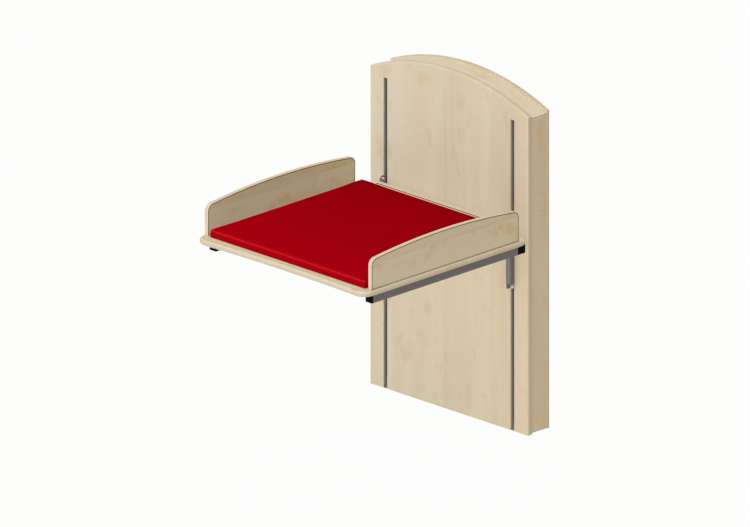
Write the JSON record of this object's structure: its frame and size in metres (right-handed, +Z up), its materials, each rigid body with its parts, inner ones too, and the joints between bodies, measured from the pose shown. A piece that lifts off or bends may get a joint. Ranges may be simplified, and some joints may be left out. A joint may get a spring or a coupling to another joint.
{
  "type": "baby changing station",
  "caption": "Wall-hung changing table with a padded mat between two side guards, on steel arms whose carriages slide up and down in slots of an arched housing.",
  "frame": {"origin": "on the wall plane, the back face of the back panel, on the centre line at the height of the upper fixing batten, 1.085 m above the housing's foot", "axes": "+X to the right of a user who faces the wall, +Y into the wall, +Z up"},
  "size_m": [0.86, 0.969, 1.2895],
  "materials": {
    "maple": "pale maple laminate, satin",
    "red_cover": "red coated fabric, satin",
    "grey_steel": "grey powder coat",
    "zinc_steel": "zinc plated",
    "chrome": "bright plated",
    "black_plastic": "moulded, fine grain",
    "white_plastic": "machined slide plastic",
    "black_enamel": "black enamel",
    "black_rubber": "matt"
  },
  "bodies": {
    "housing": {"front_panel": "maple", "back_panel": "maple", "top_panel": "maple", "base_board": "maple", "wall_batten_upper": "maple", "wall_batten_lower": "maple", "side_panel_left": "maple", "side_panel_right": "maple", "guide_rail_left_outer": "zinc_steel", "guide_rail_left_inner": "zinc_steel", "guide_rail_right_outer": "zinc_steel", "guide_rail_right_inner": "zinc_steel", "end_stop_left": "black_rubber", "end_stop_right": "black_rubber", "gas_spring_foot_left": "zinc_steel", "gas_spring_foot_right": "zinc_steel", "gas_spring_cylinder_left": "black_enamel", "gas_spring_cylinder_right": "black_enamel"},
    "table": {"table_board": "maple", "rear_strip": "maple", "guard_left": "maple", "guard_right": "maple", "rear_cross_tube": "grey_steel", "arm_left": "grey_steel", "arm_right": "grey_steel", "arm_front_cap_left": "black_plastic", "arm_front_cap_right": "black_plastic", "arm_rear_block_left": "black_plastic", "arm_rear_block_right": "black_plastic", "carriage_plate_left": "grey_steel", "carriage_plate_right": "grey_steel", "carriage_post_left": "grey_steel", "carriage_post_right": "grey_steel", "glide_block_upper_left": "white_plastic", "glide_block_upper_right": "white_plastic", "glide_block_lower_left": "white_plastic", "glide_block_lower_right": "white_plastic", "hook_bolt_left": "chrome", "hook_bolt_right": "chrome", "roller_axle_left": "chrome", "roller_axle_right": "chrome", "lift_bridge": "zinc_steel", "gas_spring_rod_left": "chrome", "gas_spring_rod_right": "chrome"},
    "roller_left_outer": {"guide_roller_left_outer": "chrome"},
    "roller_left_inner": {"guide_roller_left_inner": "chrome"},
    "roller_right_outer": {"guide_roller_right_outer": "chrome"},
    "roller_right_inner": {"guide_roller_right_inner": "chrome"},
    "mat": {"changing_mat": "red_cover"}
  },
  "joints": [
    {"name": "table_lift", "type": "slide", "parent": "housing", "child": "table", "axis": [0, 0, 1], "range_m": [-0.22, 0.18]},
    {"name": "roller_turn_left_outer", "type": "hinge", "parent": "table", "child": "roller_left_outer", "pos_m": [-0.3298, -0.1208, -0.5325], "axis": [1, 0, 0], "range_deg": [-1100, 1340]},
    {"name": "roller_turn_left_inner", "type": "hinge", "parent": "table", "child": "roller_left_inner", "pos_m": [-0.3122, -0.1208, -0.5325], "axis": [1, 0, 0], "range_deg": [-1100, 1340]},
    {"name": "roller_turn_right_outer", "type": "hinge", "parent": "table", "child": "roller_right_outer", "pos_m": [0.3298, -0.1208, -0.5325], "axis": [1, 0, 0], "range_deg": [-1100, 1340]},
    {"name": "roller_turn_right_inner", "type": "hinge", "parent": "table", "child": "roller_right_inner", "pos_m": [0.3122, -0.1208, -0.5325], "axis": [1, 0, 0], "range_deg": [-1100, 1340]},
    {"name": "mat_lift", "type": "slide", "parent": "table", "child": "mat", "axis": [0, 0, 1], "range_m": [0, 0.12]}
  ],
  "couplings": [
    {"joint": "roller_turn_left_outer", "follows": "table_lift", "rad_per_m": -105.26},
    {"joint": "roller_turn_left_inner", "follows": "table_lift", "rad_per_m": -105.26},
    {"joint": "roller_turn_right_outer", "follows": "table_lift", "rad_per_m": -105.26},
    {"joint": "roller_turn_right_inner", "follows": "table_lift", "rad_per_m": -105.26}
  ]
}
